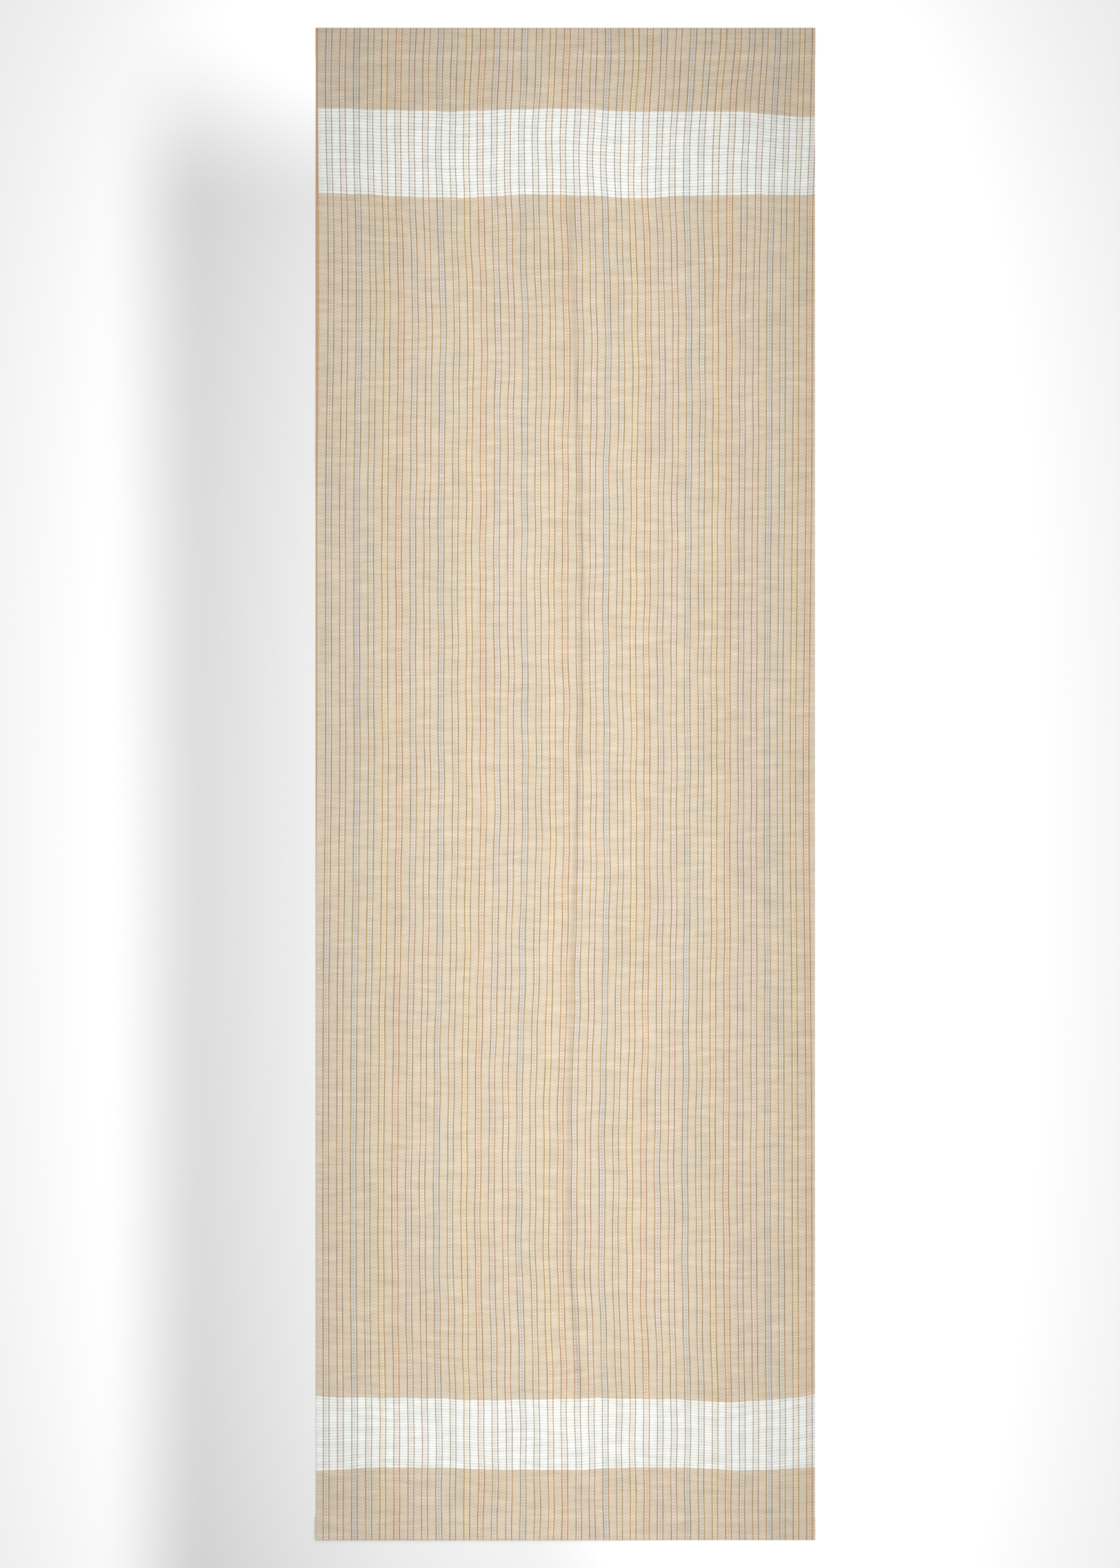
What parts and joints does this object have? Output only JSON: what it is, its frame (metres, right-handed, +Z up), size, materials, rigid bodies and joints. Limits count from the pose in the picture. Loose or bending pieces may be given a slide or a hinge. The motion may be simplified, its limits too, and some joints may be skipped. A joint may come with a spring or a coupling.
{
  "type": "table runner",
  "caption": "Long flat woven cloth laid along a table to dress and protect it, with fine lengthwise stripes, a white band near each hemmed end, and cross folds for storage.",
  "frame": {"origin": "centre of the underside, where the flat cloth rests on the table", "axes": "+X across the width to the plain right edge, +Y along the length to the head end with the deeper hem and wider white band, +Z up off the table through the patterned face"},
  "size_m": [0.495, 1.5, 0.0026],
  "materials": {
    "oatmeal_cloth": "matte cotton twill, oatmeal ground with pairs of thin tan lines and pale coloured strips between them",
    "white_weft": "matte white ribbed weft crossed by the same warp stripes",
    "tan_selvedge": "matte close-woven tan edge yarns",
    "hem_thread": "matte spun sewing thread"
  },
  "bodies": {
    "head_middle": {"head_middle_cloth": "oatmeal_cloth", "head_middle_left_selvedge": "tan_selvedge", "head_middle_right_selvedge": "oatmeal_cloth"},
    "head_quarter": {"head_quarter_cloth": "oatmeal_cloth", "head_quarter_left_selvedge": "tan_selvedge", "head_quarter_right_selvedge": "oatmeal_cloth", "head_white_band": "white_weft", "head_end_cloth": "oatmeal_cloth", "head_hem": "oatmeal_cloth", "head_hem_needle_thread": "hem_thread", "head_hem_bobbin_thread": "hem_thread"},
    "foot_middle": {"foot_middle_cloth": "oatmeal_cloth", "foot_middle_left_selvedge": "tan_selvedge", "foot_middle_right_selvedge": "oatmeal_cloth"},
    "foot_quarter": {"foot_quarter_cloth": "oatmeal_cloth", "foot_quarter_left_selvedge": "tan_selvedge", "foot_quarter_right_selvedge": "oatmeal_cloth", "foot_white_band": "white_weft", "foot_end_cloth": "oatmeal_cloth", "foot_hem": "oatmeal_cloth", "foot_hem_needle_thread": "hem_thread", "foot_hem_bobbin_thread": "hem_thread"}
  },
  "joints": [
    {"name": "head_fold", "type": "hinge", "parent": "head_middle", "child": "head_quarter", "pos_m": [0, 0.3765, 0.00211], "axis": [1, 0, 0], "range_deg": [0, 180]},
    {"name": "middle_fold", "type": "hinge", "parent": "head_middle", "child": "foot_middle", "pos_m": [0, 0, 0.00451], "axis": [-1, 0, 0], "range_deg": [0, 180]},
    {"name": "foot_fold", "type": "hinge", "parent": "foot_middle", "child": "foot_quarter", "pos_m": [0, -0.3765, 0.00211], "axis": [-1, 0, 0], "range_deg": [0, 180]}
  ]
}
